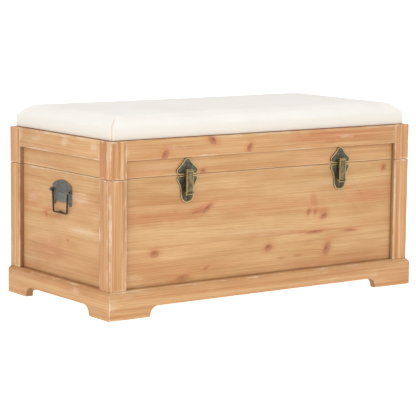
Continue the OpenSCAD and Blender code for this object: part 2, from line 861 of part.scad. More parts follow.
plinth_front();
plinth_back();
plinth_left();
plinth_right();
base_battens();
body_front_panel();
body_back_panel();
body_left_panel();
body_right_panel();
chest_floor();
corner_posts();
front_stile_left();
front_stile_right();
left_stile_front();
left_stile_rear();
right_stile_front();
right_stile_rear();
lid_top_board();
lid_front_panel();
lid_back_panel();
lid_left_panel();
lid_right_panel();
lid_rail_front();
lid_rail_left();
lid_rail_right();
lid_front_stile_left();
lid_front_stile_right();
lid_left_stile_front();
lid_left_stile_rear();
lid_right_stile_front();
lid_right_stile_rear();
cushion_board();
cushion_foam();
cushion_cover();
left_latch_base();
right_latch_base();
left_latch_keeper();
right_latch_keeper();
left_latch_lever();
right_latch_lever();
left_latch_claw();
right_latch_claw();
latch_rivets();
keeper_nails();
left_handle_plate();
right_handle_plate();
left_handle_bail();
right_handle_bail();
body_nails();
hinge_body_leaves();
hinge_lid_leaves();
hinge_pins();
hinge_body_screws();
hinge_lid_screws();
stay_lower_link();
stay_upper_link();
stay_elbow_rivet();
stay_body_pivot();
stay_lid_pivot();
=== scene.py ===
import json
import math

import bpy
import numpy as np
from mathutils import Matrix, Vector


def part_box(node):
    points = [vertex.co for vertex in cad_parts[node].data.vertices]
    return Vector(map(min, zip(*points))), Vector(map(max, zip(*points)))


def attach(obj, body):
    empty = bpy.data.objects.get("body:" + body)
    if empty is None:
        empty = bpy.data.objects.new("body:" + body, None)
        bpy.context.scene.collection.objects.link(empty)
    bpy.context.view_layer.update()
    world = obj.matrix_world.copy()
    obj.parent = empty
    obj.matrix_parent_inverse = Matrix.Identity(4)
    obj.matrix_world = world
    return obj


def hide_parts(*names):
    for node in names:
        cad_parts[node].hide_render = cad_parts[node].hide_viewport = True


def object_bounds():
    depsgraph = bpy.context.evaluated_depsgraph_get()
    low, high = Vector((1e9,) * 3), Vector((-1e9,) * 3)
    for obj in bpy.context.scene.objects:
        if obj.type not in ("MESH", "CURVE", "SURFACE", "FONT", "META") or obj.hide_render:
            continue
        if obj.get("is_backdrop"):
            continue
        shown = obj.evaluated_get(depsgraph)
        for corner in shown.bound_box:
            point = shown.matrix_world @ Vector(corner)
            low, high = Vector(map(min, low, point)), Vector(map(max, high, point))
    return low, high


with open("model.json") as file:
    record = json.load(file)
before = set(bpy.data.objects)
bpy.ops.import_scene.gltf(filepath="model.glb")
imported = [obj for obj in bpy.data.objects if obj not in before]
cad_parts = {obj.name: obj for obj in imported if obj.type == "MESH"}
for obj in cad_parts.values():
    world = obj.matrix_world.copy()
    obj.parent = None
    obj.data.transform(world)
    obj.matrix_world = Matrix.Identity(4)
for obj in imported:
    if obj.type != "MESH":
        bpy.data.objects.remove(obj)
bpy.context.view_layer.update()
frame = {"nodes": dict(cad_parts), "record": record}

scene = bpy.context.scene
scene.view_settings.view_transform = "Standard"


camera = {
    "place": (-2.3203, -3.1710, 0.7241),
    "turn": math.radians(-36.03),
    "tilt": math.radians(90 - 7.94),
    "roll": 0.01044,
    "lens": 156.98,
}
bpy.ops.object.camera_add()
viewer = bpy.context.active_object
viewer.name = "camera"
viewer.data.lens = camera["lens"]
viewer.data.sensor_width = 36
viewer.data.clip_end = 50
viewer.matrix_world = (
    Matrix.Translation(camera["place"])
    @ Matrix.Rotation(camera["turn"], 4, "Z")
    @ Matrix.Rotation(camera["tilt"], 4, "X")
    @ Matrix.Rotation(camera["roll"], 4, "Z")
)
scene.camera = viewer

bpy.ops.mesh.primitive_plane_add(size=30, location=(0, 0, 0))
floor = bpy.context.active_object
floor.name = "floor"
floor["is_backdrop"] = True


def newMaterial(name):
    material = bpy.data.materials.new(name)
    material.use_nodes = True
    return material, material.node_tree.nodes["Principled BSDF"]


def linear(hexCode):
    parts = [int(hexCode[i:i + 2], 16) / 255 for i in (0, 2, 4)]
    return [p / 12.92 if p <= 0.04045 else ((p + 0.055) / 1.055) ** 2.4 for p in parts] + [1]


# floor and sky look white, and light the bench a little less than that
def brighter(tree, seen, given, socket):
    sight = tree.nodes.new("ShaderNodeLightPath")
    blend = tree.nodes.new("ShaderNodeMapRange")
    blend.inputs["To Min"].default_value = given
    blend.inputs["To Max"].default_value = seen
    tree.links.new(sight.outputs["Is Camera Ray"], blend.inputs["Value"])
    tree.links.new(blend.outputs[0], socket)


floorMaterial, floorShader = newMaterial("paleFloor")
floorShader.inputs["Base Color"].default_value = (0.93, 0.93, 0.93, 1)
floorShader.inputs["Roughness"].default_value = 0.8
floorShader.inputs["Emission Color"].default_value = (1, 1, 1, 1)
brighter(floorMaterial.node_tree, 0.92, 0.45, floorShader.inputs["Emission Strength"])
floor.data.materials.append(floorMaterial)

world = bpy.data.worlds.new("studio")
world.use_nodes = True
sky = world.node_tree.nodes["Background"]
sky.inputs["Color"].default_value = (1, 1, 1, 1)
brighter(world.node_tree, 1.3, 0.5, sky.inputs["Strength"])
scene.world = world

lamps = {
    "key": {"place": (-2.92, -2.26, 2.6), "size": 2.6, "power": 54},
    "fill": {"place": (2.4, -3.0, 2.0), "size": 2.8, "power": 18},
    "top": {"place": (0.2, 0.6, 3.4), "size": 3.0, "power": 34},
}
for name, lamp in lamps.items():
    bpy.ops.object.light_add(type="AREA", location=lamp["place"])
    light = bpy.context.active_object
    light.name = name
    light.data.size = lamp["size"]
    light.data.energy = lamp["power"]
    light.rotation_euler = (Vector((0, 0, 0.2)) - light.location).to_track_quat("-Z", "Y").to_euler()
print("scene: camera, floor and light")


def select(piece):
    bpy.ops.object.select_all(action="DESELECT")
    piece.select_set(True)
    bpy.context.view_layer.objects.active = piece


copying = {"merge": 0.00002, "flat": math.radians(1)}
edges = {"segments": 2, "corner": math.radians(40), "smooth": math.radians(35)}


def copyOfNode(name):
    # a copy of a node's mesh, with its triangles merged into flat faces
    piece = bpy.data.objects.new(name + "_softened", frame["nodes"][name].data.copy())
    scene.collection.objects.link(piece)
    select(piece)
    bpy.ops.object.mode_set(mode="EDIT")
    bpy.ops.mesh.select_all(action="SELECT")
    bpy.ops.mesh.remove_doubles(threshold=copying["merge"])
    bpy.ops.mesh.dissolve_limited(angle_limit=copying["flat"])
    bpy.ops.mesh.normals_make_consistent(inside=False)
    bpy.ops.object.mode_set(mode="OBJECT")
    piece.data.materials.clear()
    return piece


def soften(piece, width, material=-1):
    select(piece)
    bevel = piece.modifiers.new("edges", "BEVEL")
    bevel.width = width
    bevel.segments = edges["segments"]
    bevel.limit_method = "ANGLE"
    bevel.angle_limit = edges["corner"]
    bevel.material = material
    bpy.ops.object.modifier_apply(modifier="edges")
    bpy.ops.object.shade_smooth_by_angle(angle=edges["smooth"])


def meshPoints(mesh):
    points = np.zeros(len(mesh.vertices) * 3)
    mesh.vertices.foreach_get("co", points)
    return points.reshape(-1, 3)


def writeCorners(mesh, layers):
    # one vector for each face corner, for each named layer
    for name, values in layers.items():
        mesh.attributes.new(name, "FLOAT_VECTOR", "CORNER").data.foreach_set("vector", values.ravel())


def farAway(mesh):
    return np.full((len(mesh.loops), 3), 1.0)


def flatAxis(face):
    # the axis that a face looks along most, and the two that it spans
    flat = int(np.argmax(np.abs(np.array(face.normal))))
    return flat, [axis for axis in range(3) if axis != flat]


nodeBody = {name: body for body, names in frame["record"]["behaviour"]["bodies"].items() for name in names}


def finishPiece(piece, node, material):
    # the piece stands in for its node and moves with the node's body
    piece.data.materials.append(material)
    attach(piece, nodeBody[node])
    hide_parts(node)


class Graph:
    # short ways to write a node group or a material
    def __init__(self, tree):
        self.tree = tree

    def node(self, kind, **values):
        made = self.tree.nodes.new(kind)
        for key, value in values.items():
            setattr(made, key, value)
        return made

    def plug(self, value, socket):
        if isinstance(value, bpy.types.NodeSocket):
            self.tree.links.new(value, socket)
        else:
            socket.default_value = value

    def math(self, operation, a, b=0.0, clamp=False):
        made = self.node("ShaderNodeMath", operation=operation, use_clamp=clamp)
        for socket, value in zip(made.inputs, (a, b)):
            self.plug(value, socket)
        return made.outputs[0]

    def vector(self, operation, a, b=(0, 0, 0)):
        made = self.node("ShaderNodeVectorMath", operation=operation)
        self.plug(a, made.inputs[0])
        self.plug(b, made.inputs["Scale" if operation == "SCALE" else 1])
        return made.outputs["Value" if operation in ("LENGTH", "DOT_PRODUCT") else "Vector"]

    def split(self, vector):
        made = self.node("ShaderNodeSeparateXYZ")
        self.plug(vector, made.inputs[0])
        return made.outputs

    def join(self, x, y, z):
        made = self.node("ShaderNodeCombineXYZ")
        for socket, value in zip(made.inputs, (x, y, z)):
            self.plug(value, socket)
        return made.outputs[0]

    def noise(self, vector, scale=1.0, detail=2.0, rough=0.5):
        made = self.node("ShaderNodeTexNoise")
        self.plug(vector, made.inputs["Vector"])
        made.inputs["Scale"].default_value = scale
        made.inputs["Detail"].default_value = detail
        made.inputs["Roughness"].default_value = rough
        return made.outputs["Fac"]

    def product(self, first, *others):
        for other in others:
            first = self.math("MULTIPLY", first, other)
        return first

    def span(self, value, low, high, toLow=0.0, toHigh=1.0):
        # a soft step between two values
        made = self.node("ShaderNodeMapRange", interpolation_type="SMOOTHSTEP")
        for socket, item in zip(made.inputs, (value, low, high, toLow, toHigh)):
            self.plug(item, socket)
        return made.outputs[0]

    def mix(self, factor, a, b):
        made = self.node("ShaderNodeMix", data_type="RGBA")
        self.plug(factor, made.inputs[0])
        self.plug(a, made.inputs[6])
        self.plug(b, made.inputs[7])
        return made.outputs[2]

    def attribute(self, name, output="Vector"):
        return self.node("ShaderNodeAttribute", attribute_name=name).outputs[output]

    def nearest(self, lowName, highName):
        # the least of the distances to a face's four sides
        low, high = self.split(self.attribute(lowName)), self.split(self.attribute(highName))
        lowest = self.math("MINIMUM", low[0], low[1])
        return self.math("MINIMUM", lowest, self.math("MINIMUM", high[0], high[1]))


def newGroup(name, inputs, outputs):
    tree = bpy.data.node_groups.new(name, "ShaderNodeTree")
    for label, kind, value in inputs:
        socket = tree.interface.new_socket(label, in_out="INPUT", socket_type=kind)
        if value is not None:
            socket.default_value = value
    for label, kind in outputs:
        tree.interface.new_socket(label, in_out="OUTPUT", socket_type=kind)
    graph = Graph(tree)
    return graph, graph.node("NodeGroupInput").outputs, graph.node("NodeGroupOutput").inputs


def useGroup(graph, tree, **values):
    made = graph.node("ShaderNodeGroup", node_tree=tree)
    for label, value in values.items():
        graph.plug(value, made.inputs[label])
    return made.outputs


def dress(graph, shader, color, made, strength, distance):
    # joins a finish's colour, roughness and height to its shader
    graph.plug(color, shader.inputs["Base Color"])
    graph.plug(made["Roughness"], shader.inputs["Roughness"])
    bump = graph.node("ShaderNodeBump")
    graph.plug(strength, bump.inputs["Strength"])
    graph.plug(distance, bump.inputs["Distance"])
    graph.plug(made["Height"], bump.inputs["Height"])
    graph.plug(bump.outputs[0], shader.inputs["Normal"])


fir = {
    "light": linear("E5BD88"),
    "middle": linear("CC9D66"),
    "ring": linear("B17745"),
    "red": linear("CA8154"),
    "stripe": linear("BA7945"),
    "knot": linear("AC6039"),
    "heart": linear("70402A"),
    "rub": linear("EFD9BC"),
    "haze": linear("E8CBA6"),
    # a dark brown painted in as shade, not a colour of the wood
    "paintedShade": linear("6E4A2A"),
    "bump": (0.35, 0.0006),
}

# one knot: how near a point is to it, and how far it pushes the grain aside.
# Turn is the (cosine, sine) of its slant
g, given, out = newGroup(
    "firKnot",
    [("Grain", "NodeSocketVector", None), ("Centre", "NodeSocketVector", None),
     ("Turn", "NodeSocketVector", (1, 0, 0)), ("Size", "NodeSocketFloat", 0.006),
     ("Stretch", "NodeSocketFloat", 1.6), ("Strength", "NodeSocketFloat", 1.0)],
    [("Core", "NodeSocketFloat"), ("Heart", "NodeSocketFloat"), ("Halo", "NodeSocketFloat"),
     ("Push", "NodeSocketFloat")])
offset = g.vector("SUBTRACT", given["Grain"], given["Centre"])
turn = g.split(given["Turn"])
along = g.vector("DOT_PRODUCT", offset, given["Turn"])
across = g.vector("DOT_PRODUCT", offset, g.join(g.product(turn[1], -1.0), turn[0], 0.0))
wobble = g.product(g.math("SUBTRACT", g.noise(given["Grain"], 190, 3), 0.5), 0.9)
spread = g.vector("LENGTH", g.join(g.math("DIVIDE", along, given["Stretch"]), across, 0.0))
reach = g.math("ADD", g.math("DIVIDE", spread, given["Size"]), wobble)
lopsided = g.math("ADD", reach, g.product(g.math("DIVIDE", across, given["Size"]), 0.35))
rings = g.product(g.span(g.math("SINE", g.product(reach, 10.0)), 0.0, 1.0), g.span(reach, 0.5, 1.0, 0.3, 0.0))
outline = g.product(g.span(lopsided, 0.4, 1.0, 0.0, 0.5), g.span(lopsided, 1.0, 1.7, 1.0, 0.0))
pith = g.span(lopsided, 0.1, 0.7, 0.9, 0.0)
heart = g.math("MAXIMUM", outline, g.math("MAXIMUM", pith, rings))
halo = g.math("POWER", g.span(reach, 0.8, 4.6, 1.0, 0.0), 1.4)
g.plug(g.product(g.span(reach, 0.5, 1.5, 1.0, 0.0), given["Strength"]), out["Core"])
g.plug(g.product(heart, given["Strength"]), out["Heart"])
g.plug(g.product(halo, given["Strength"]), out["Halo"])
# the grain bends round a knot, less and less with the distance
side = g.math("DIVIDE", across, g.math("ADD", spread, 0.0015))
reachWide = g.math("DIVIDE", spread, g.product(given["Size"], 2.6))
fade = g.math("POWER", 2.718, g.product(g.math("POWER", reachWide, 2.0), -1.0))
g.plug(g.product(side, fade, g.product(given["Size"], 1.1)), out["Push"])
knotGroup = g.tree

# noise in a board: stretch (along, across, depth), start, detail and roughness
grainNoise = {
    "wander": ((1.1, 4.0, 4.0), (0, 0, 0), 1.5, 0.5),
    "drift": ((2.4, 12.0, 12.0), (0, 0, 0), 1.0, 0.5),
    "fibre": ((14.0, 900.0, 900.0), (0, 0, 0), 3.0, 0.6),
    "fibreBig": ((4.0, 240.0, 240.0), (0, 0, 0), 3.0, 0.6),
    "streak": ((2.2, 85.0, 85.0), (0, 0, 0), 2.0, 0.6),
    "cloud": ((4.5, 20.0, 20.0), (0, 0, 0), 4.0, 0.6),
    "cloudRed": ((1.7, 15.0, 15.0), (5.2, 1.3, 0.0), 2.0, 0.5),
    "bands": ((1.6, 105.0, 105.0), (1.7, 4.1, 0.3), 3.0, 0.62),
    "threads": ((3.5, 330.0, 330.0), (8.1, 0.4, 2.3), 2.0, 0.6),
    "patch": ((22.0, 60.0, 60.0), (0, 0, 0), 3.0, 0.65),
    "soft": ((9.0, 26.0, 26.0), (0, 0, 0), 3.0, 0.6),
}

# colour, roughness and height of a board; Grain is (along, across, depth) in metres
g, given, out = newGroup(
    "firBoard",
    [("Grain", "NodeSocketVector", None), ("Strip", "NodeSocketFloat", 0.0), ("Push", "NodeSocketFloat", 0.0),
     ("Core", "NodeSocketFloat", 0.0), ("Heart", "NodeSocketFloat", 0.0), ("Halo", "NodeSocketFloat", 0.0),
     ("Rim", "NodeSocketFloat", 1.0), ("Nook", "NodeSocketFloat", 0.0), ("Stripe", "NodeSocketFloat", 0.3),
     ("Warmth", "NodeSocketFloat", 0.3), ("Wear", "NodeSocketFloat", 0.5), ("Figure", "NodeSocketFloat", 0.0),
     ("Haze", "NodeSocketFloat", 0.0)],
    [("Color", "NodeSocketColor"), ("Roughness", "NodeSocketFloat"), ("Height", "NodeSocketFloat")])
axes = g.split(given["Grain"])
across = g.math("ADD", axes[1], given["Push"])
far = g.join(g.math("ADD", axes[0], g.product(given["Strip"], 7.31)), across, axes[2])
noise = {}
for label, (stretch, start, detail, rough) in grainNoise.items():
    noise[label] = g.noise(g.vector("ADD", g.vector("MULTIPLY", far, stretch), start), 1.0, detail, rough)
# growth rings: distance from a wandering heart line, stretched along the board
heart = g.math("ADD", across, g.product(g.math("SUBTRACT", noise["wander"], 0.5), 0.10))
deep = g.product(g.math("SUBTRACT", noise["drift"], 0.5), 0.03)
radius = g.vector("LENGTH", g.join(heart, g.math("ADD", g.math("ADD", axes[2], 0.018), deep), 0.0))
ringAt = g.math("FRACT", g.math("ADD", g.product(radius, 210.0), g.product(noise["drift"], 2.2)))
late = g.product(g.span(ringAt, 0.25, 0.86), g.span(ringAt, 0.88, 1.0, 1.0, 0.0))
redness = g.math("ADD", g.product(g.span(noise["cloudRed"], 0.46, 0.78), 0.55), given["Warmth"])
redness = g.math("ADD", redness, g.product(given["Figure"], 0.7), clamp=True)
# edges rubbed pale, short scratches and patches where the white wax stayed in the pores
edge = g.math("SUBTRACT", given["Rim"], g.product(g.math("SUBTRACT", noise["patch"], 0.50), 0.016))
worn = g.product(g.span(edge, 0.0, 0.0034, 1.0, 0.0), g.span(noise["soft"], 0.36, 0.56, 0.25, 1.0))
scratch = g.product(g.span(noise["fibre"], 0.5, 0.66), g.span(noise["patch"], 0.60, 0.74))
waxy = g.product(g.span(noise["soft"], 0.60, 0.74), g.span(noise["fibreBig"], 0.36, 0.58, 0.25, 1.0))
rub = g.math("ADD", g.product(worn, 0.75), g.product(g.math("ADD", scratch, waxy), 0.6))
rub = g.math("MULTIPLY", rub, given["Wear"], clamp=True)
pores = g.product(g.span(noise["fibreBig"], 0.34, 0.6, 0.25, 1.0),
                  g.span(noise["threads"], 0.36, 0.56, 0.45, 1.0))
base = g.mix(g.span(noise["cloud"], 0.3, 0.72), fir["middle"], fir["light"])
for amount, tone in (
        (redness, "red"),
        (g.product(late, g.math("ADD", 0.18, g.product(redness, 0.15))), "ring"),
        (g.product(g.span(noise["bands"], 0.52, 0.66), given["Stripe"]), "light"),
        (g.product(g.span(noise["bands"], 0.34, 0.48, 1.0, 0.0), given["Stripe"]), "stripe"),
        (g.span(noise["threads"], 0.54, 0.74, 0.0, 0.40), "ring"),
        (g.span(noise["fibre"], 0.35, 0.75, 0.0, 0.2), "ring"),
        (g.span(noise["fibreBig"], 0.45, 0.8, 0.0, 0.35), "light"),
        (g.span(noise["streak"], 0.5, 0.8, 0.0, 0.35), "ring"),
        (g.product(given["Halo"], 0.62), "red"),
        (g.product(given["Core"], 0.6), "knot"),
        (g.product(given["Heart"], 0.7), "heart"),
        (g.math("MINIMUM", rub, 0.85), "rub"),
        (g.product(given["Haze"], pores, 0.75), "haze"),
        # painted shade near the trim and on inward faces
        (given["Nook"], "paintedShade")):
    base = g.mix(amount, base, fir[tone])
g.plug(base, out["Color"])
g.plug(g.math("ADD", 0.52, g.product(noise["fibre"], 0.16)), out["Roughness"])
height = g.math("SUBTRACT", g.product(noise["fibre"], 0.35), g.product(late, 0.25))
g.plug(g.math("SUBTRACT", height, g.product(given["Core"], 0.3)), out["Height"])
boardGroup = g.tree


def knotSum(graph, grain, knots):
    # adds up the knots of one board
    sums = {"Core": 0.0, "Heart": 0.0, "Halo": 0.0, "Push": 0.0}
    for x, y, size, stretch, slant, strength in knots:
        turn = (math.cos(math.radians(slant)), math.sin(math.radians(slant)), 0.0)
        one = useGroup(graph, knotGroup, Grain=grain, Centre=(x, y, 0.0), Turn=turn, Size=size,
                       Stretch=stretch, Strength=strength)
        for key in sums:
            operation = "ADD" if key == "Push" else "MAXIMUM"
            sums[key] = graph.math(operation, sums[key], one[key])
    return sums


def patchSum(graph, place, patches):
    # soft-edged oval patches, each (along, across, half length, half width, strength)
    total = 0.0
    for x, y, length, width, strength in patches:
        away = graph.vector("LENGTH", graph.join(
            graph.math("DIVIDE", graph.math("SUBTRACT", place[0], x), length),
            graph.math("DIVIDE", graph.math("SUBTRACT", place[1], y), width), 0.0))
        total = graph.math("MAXIMUM", total, graph.span(away, 0.25, 1.15, strength, 0.0))
    return total


# glue lines between the strips of a board, and painted shade in the corners where boards meet, in metres
joins = {
    "waves": 45.0,
    "waveDepth": 0.02,
    "glueLine": (0.0002, 0.0008),
    "glueTint": 0.35,
    "shadeWidth": 0.0045,
    "paintedShade": 0.55,
    "innerFaceShade": 0.52,
}


def firMaterial(name, strips=(), knots=(), warmth=0.25, wear=0.5, stripe=0.3, reds=(), hazes=()):
    # strips are the heights of glue lines across the board
    material, shader = newMaterial(name)
    graph = Graph(material.node_tree)
    grain = graph.attribute("grain")
    flat = graph.vector("MULTIPLY", grain, (1.0, 1.0, 0.0))
    wavy = graph.node("ShaderNodeTexNoise")
    graph.plug(joins["waves"], wavy.inputs["Scale"])
    graph.plug(flat, wavy.inputs["Vector"])
    sway = graph.vector("SUBTRACT", wavy.outputs["Color"], (0.5, 0.5, 0.5))
    swayed = graph.split(graph.vector("ADD", flat, graph.vector("SCALE", sway, joins["waveDepth"])))
    height = graph.split(grain)[1]
    strip, line = 0.0, 0.0
    for at in strips:
        strip = graph.math("ADD", strip, graph.math("GREATER_THAN", height, at))
        gap = graph.math("ABSOLUTE", graph.math("SUBTRACT", height, at))
        line = graph.math("MAXIMUM", line, graph.span(gap, *joins["glueLine"], 1.0, 0.0))
    # painted shade: a panel darkens near the trim that lies on it, and the inward faces of stiles and arches
    # darken all over
    trimShade = graph.span(graph.nearest("shadeLow", "shadeHigh"), 0.0, joins["shadeWidth"], joins["paintedShade"], 0.0)
    innerShade = graph.product(graph.split(graph.attribute("shadeLow"))[2], joins["innerFaceShade"])
    made = useGroup(graph, boardGroup, Grain=grain, Strip=strip, Rim=graph.nearest("rimLow", "rimHigh"),
                    Nook=graph.math("MAXIMUM", trimShade, innerShade), Stripe=stripe, Warmth=warmth, Wear=wear,
                    Figure=patchSum(graph, swayed, reds), Haze=patchSum(graph, swayed, hazes),
                    **knotSum(graph, flat, knots))
    color = graph.mix(graph.product(line, joins["glueTint"]), made["Color"], fir["knot"])
    dress(graph, shader, color, made, *fir["bump"])
    return material


# the panels' sight openings: inside edges of the stiles and rails that lie on them
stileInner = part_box("front_stile_right")[0].x
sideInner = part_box("right_stile_rear")[0].y
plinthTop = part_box("plinth_front")[1].z
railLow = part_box("lid_rail_front")[0].z
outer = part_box("front_stile_right")[1].x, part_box("lid_right_stile_rear")[1].y
noEdge = 9.0  # metres, where nothing lies on the panel


def openingOf(name, axis):
    # low and high edges of the part of a panel that shows, along one axis
    if axis == 0:
        return -stileInner, stileInner
    if axis == 1:
        return -sideInner, sideInner
    if name.startswith("lid"):
        return -noEdge, (noEdge if "back" in name else railLow)
    return plinthTop, noEdge


def hasInnerShade(node, face, flat, across, depth, run, high):
    # the inward edges of the stiles and the plinth's arches, which get painted shade all over
    if "stile" in node:
        return flat == across and abs(face.center[flat]) < outer[flat % 2] - 0.002
    arch = abs(face.center[run]) < high[run] - 0.004 and 0.0005 < face.center.z < 0.05
    return "plinth" in node and flat != depth and arch


def paintGrain(piece, node, run, offset):
    # writes each face corner's place along and across the grain, its distances from the face's four sides,
    # and for a panel its distances from the trim around it, which set its painted shade
    mesh = piece.data
    points = meshPoints(mesh)
    low, high = points.min(0), points.max(0)
    grain = farAway(mesh)
    rimLow, rimHigh, shadeLow, shadeHigh = [farAway(mesh) for layer in range(4)]
    across, depth = [axis for axis in range(3) if axis != run]
    if (high - low)[across] < (high - low)[depth]:
        across, depth = depth, across
    for face in mesh.polygons:
        flat, sides = flatAxis(face)
        outside = "_panel" in node and face.center[flat] * face.normal[flat] > 0 and flat != 2
        innerShade = hasInnerShade(node, face, flat, across, depth, run, high)
        for corner in face.loop_indices:
            point = points[mesh.loops[corner].vertex_index]
            grain[corner] = (point[run] + offset[0], point[across] + offset[1],
                             point[depth] - (low[depth] + high[depth]) / 2)
            rimLow[corner][:2] = [point[axis] - low[axis] for axis in sides]
            rimHigh[corner][:2] = [high[axis] - point[axis] for axis in sides]
            if outside:
                shadeLow[corner][:2] = [point[axis] - openingOf(node, axis)[0] for axis in sides]
                shadeHigh[corner][:2] = [openingOf(node, axis)[1] - point[axis] for axis in sides]
            # the third value marks a face that gets painted shade all over
            shadeLow[corner][2] = float(innerShade)
    writeCorners(mesh, {"grain": grain, "rimLow": rimLow, "rimHigh": rimHigh,
                        "shadeLow": shadeLow, "shadeHigh": shadeHigh})


# knots are (along, across, radius, stretch, slant in degrees, strength); dark flecks are very thin knots
# reds and hazes are soft patches, each (along, across, half length, half width, strength)
frontPanel = {
    "strips": (0.137, 0.224),
    "knots": ((-0.281, 0.127, 0.0047, 1.6, 5, 0.9), (-0.211, 0.071, 0.0040, 3.0, 8, 0.6),
              (0.010, 0.115, 0.0044, 1.7, 15, 0.95), (0.169, 0.099, 0.0054, 2.0, 62, 0.85),
              (0.118, 0.182, 0.0036, 1.3, 60, 0.9), (0.136, 0.180, 0.0030, 1.5, 90, 0.6),
              (0.161, 0.171, 0.0040, 1.8, 20, 0.95), (0.136, 0.137, 0.0022, 7.5, 2, 0.9),
              (0.236, 0.133, 0.0019, 7.0, -2, 0.8), (-0.150, 0.2105, 0.0034, 3.4, 35, 0.8),
              (-0.176, 0.2035, 0.0022, 6.0, 12, 0.5), (-0.152, 0.085, 0.0018, 3.0, 30, 0.6),
              (0.328, 0.265, 0.0036, 1.3, 70, 0.9), (0.046, 0.088, 0.0018, 4.0, 0, 0.35),
              (0.091, 0.090, 0.0018, 4.5, 3, 0.4)),
    "warmth": 0.04, "wear": 0.24, "stripe": 0.2,
    "reds": ((-0.25, 0.196, 0.16, 0.016, 0.75), (-0.172, 0.204, 0.035, 0.012, 1.0),
             (0.0, 0.198, 0.20, 0.020, 0.6), (0.134, 0.200, 0.016, 0.024, 1.0),
             (0.150, 0.184, 0.034, 0.012, 0.9), (0.28, 0.205, 0.13, 0.018, 0.7),
             (-0.28, 0.070, 0.14, 0.012, 0.35), (0.24, 0.075, 0.16, 0.014, 0.3)),
    "hazes": ((-0.33, 0.075, 0.035, 0.012, 0.7), (-0.06, 0.150, 0.16, 0.014, 0.4),
              (-0.20, 0.255, 0.10, 0.012, 0.35), (0.20, 0.240, 0.10, 0.010, 0.35)),
}
lidFront = {
    "knots": ((-0.162, 0.2875, 0.0042, 1.1, 20, 0.8),),
    "warmth": 0.05, "wear": 0.25, "stripe": 0.35,
    "hazes": ((-0.28, 0.300, 0.09, 0.010, 0.4),),
}
railFront = {
    "knots": ((-0.264, 0.326, 0.0048, 1.9, 62, 0.9), (-0.144, 0.352, 0.0046, 1.8, -35, 1.0),
              (-0.050, 0.331, 0.0038, 1.7, 60, 1.0)),
    "warmth": 0.28, "wear": 0.5, "stripe": 0.5,
    "reds": ((0.16, 0.342, 0.16, 0.014, 0.9),),
    "hazes": ((0.21, 0.343, 0.030, 0.006, 0.6),),
}
railSide = {
    "warmth": 0.22, "wear": 0.75, "stripe": 0.6,
    "hazes": ((-0.135, 0.343, 0.022, 0.014, 0.95), (-0.022, 0.346, 0.018, 0.012, 0.9),
              (0.090, 0.342, 0.026, 0.008, 0.8), (0.155, 0.345, 0.012, 0.016, 0.7)),
}
sideLook = {
    "strips": (0.15, 0.232),
    "knots": ((0.065, 0.186, 0.0030, 1.6, 70, 0.6), (-0.02, 0.14, 0.0018, 2.0, 0, 0.5)),
    "warmth": 0.14, "wear": 0.45, "stripe": 0.25,
    "reds": ((0.05, 0.11, 0.10, 0.03, 0.8), (0.04, 0.190, 0.06, 0.016, 0.9), (0.13, 0.205, 0.05, 0.03, 0.6)),
    "hazes": ((-0.066, 0.232, 0.050, 0.016, 0.95), (-0.078, 0.165, 0.070, 0.014, 0.85),
              (0.12, 0.212, 0.03, 0.012, 0.6), (0.14, 0.085, 0.04, 0.016, 0.5)),
}
backLook = {
    "strips": (0.13, 0.21),
    "knots": ((-0.2, 0.1, 0.0062, 1.4, 10, 1.0), (0.12, 0.17, 0.0054, 1.5, 50, 0.9),
              (0.29, 0.24, 0.0045, 1.2, 0, 0.8)),
    "warmth": 0.1, "wear": 0.35, "stripe": 0.3,
    "reds": ((0.1, 0.16, 0.2, 0.02, 0.7),),
    "hazes": ((-0.1, 0.2, 0.12, 0.016, 0.5),),
}
stileLook = {"warmth": 0.30, "wear": 0.85, "stripe": 0.8}
plinthLook = {"warmth": 0.20, "wear": 0.7, "stripe": 0.45}
plainLook = {"warmth": 0.08, "wear": 0.2, "stripe": 0.3}

# look and grain direction (0 along X, 1 along Y, 2 along Z) of each wooden node
woodNodes = {
    "plinth_front": (plinthLook, 0), "plinth_back": (plinthLook, 0),
    "plinth_left": (plinthLook, 1), "plinth_right": (plinthLook, 1),
    "base_battens": (plainLook, 0), "chest_floor": (plainLook, 0), "corner_posts": (plainLook, 2),
    "body_front_panel": (frontPanel, 0), "body_back_panel": (backLook, 0),
    "body_left_panel": (sideLook, 1), "body_right_panel": (sideLook, 1),
    "lid_top_board": (plainLook, 0), "lid_front_panel": (lidFront, 0), "lid_back_panel": (plainLook, 0),
    "lid_left_panel": (plainLook, 1), "lid_right_panel": (plainLook, 1),
    "lid_rail_front": (railFront, 0), "lid_rail_left": (railSide, 1), "lid_rail_right": (railSide, 1),
    "cushion_board": (plainLook, 0),
}
woodNodes.update({name: (stileLook, 2) for name in frame["nodes"] if "stile" in name})
trimWords = ("stile", "rail", "plinth")
boardEdges = {"trim": 0.0012, "board": 0.0006}

lookMaterials = {}
for index, (name, (look, run)) in enumerate(sorted(woodNodes.items())):
    piece = copyOfNode(name)
    if name != "cushion_board":
        soften(piece, boardEdges["trim" if any(word in name for word in trimWords) else "board"])
    # a board with no knots or patches in set places takes its grain from elsewhere in the tree
    placed = look.get("knots") or look.get("hazes")
    paintGrain(piece, name, run, (0, 0) if placed else (1.37 * index % 5.0, 0.61 * index % 3.0))
    if id(look) not in lookMaterials:
        lookMaterials[id(look)] = firMaterial("fir_" + name, **look)
    finishPiece(piece, name, lookMaterials[id(look)])
print("scene: wooden boards")


# metal: dark bronze with rubbed brass on what stands proud
bronze = {
    "dark": linear("4C4840"),
    "patina": linear("736D60"),
    "brass": linear("CDB77F"),
    "warmDark": linear("5E5039"),
    "warm": linear("948260"),
    "grey": linear("6C6B66"),
    "greyPale": linear("85837C"),
    "steel": linear("A9A9A4"),
    "steelDark": linear("7C7C78"),
    "steelPale": linear("C9C9C4"),
    # near black: the bail's darkest tone, and the painted shade on side faces of the latch levers and claws
    "darkAndShade": linear("201C18"),
}

# bright edges fade between these two distances, in metres; then bump strength and height, and the strength of
# painted shade on side faces
wornMetal = {"edge": (0.0009, 0.0017), "bump": (0.3, 0.0002), "darkAndShade": 0.75}

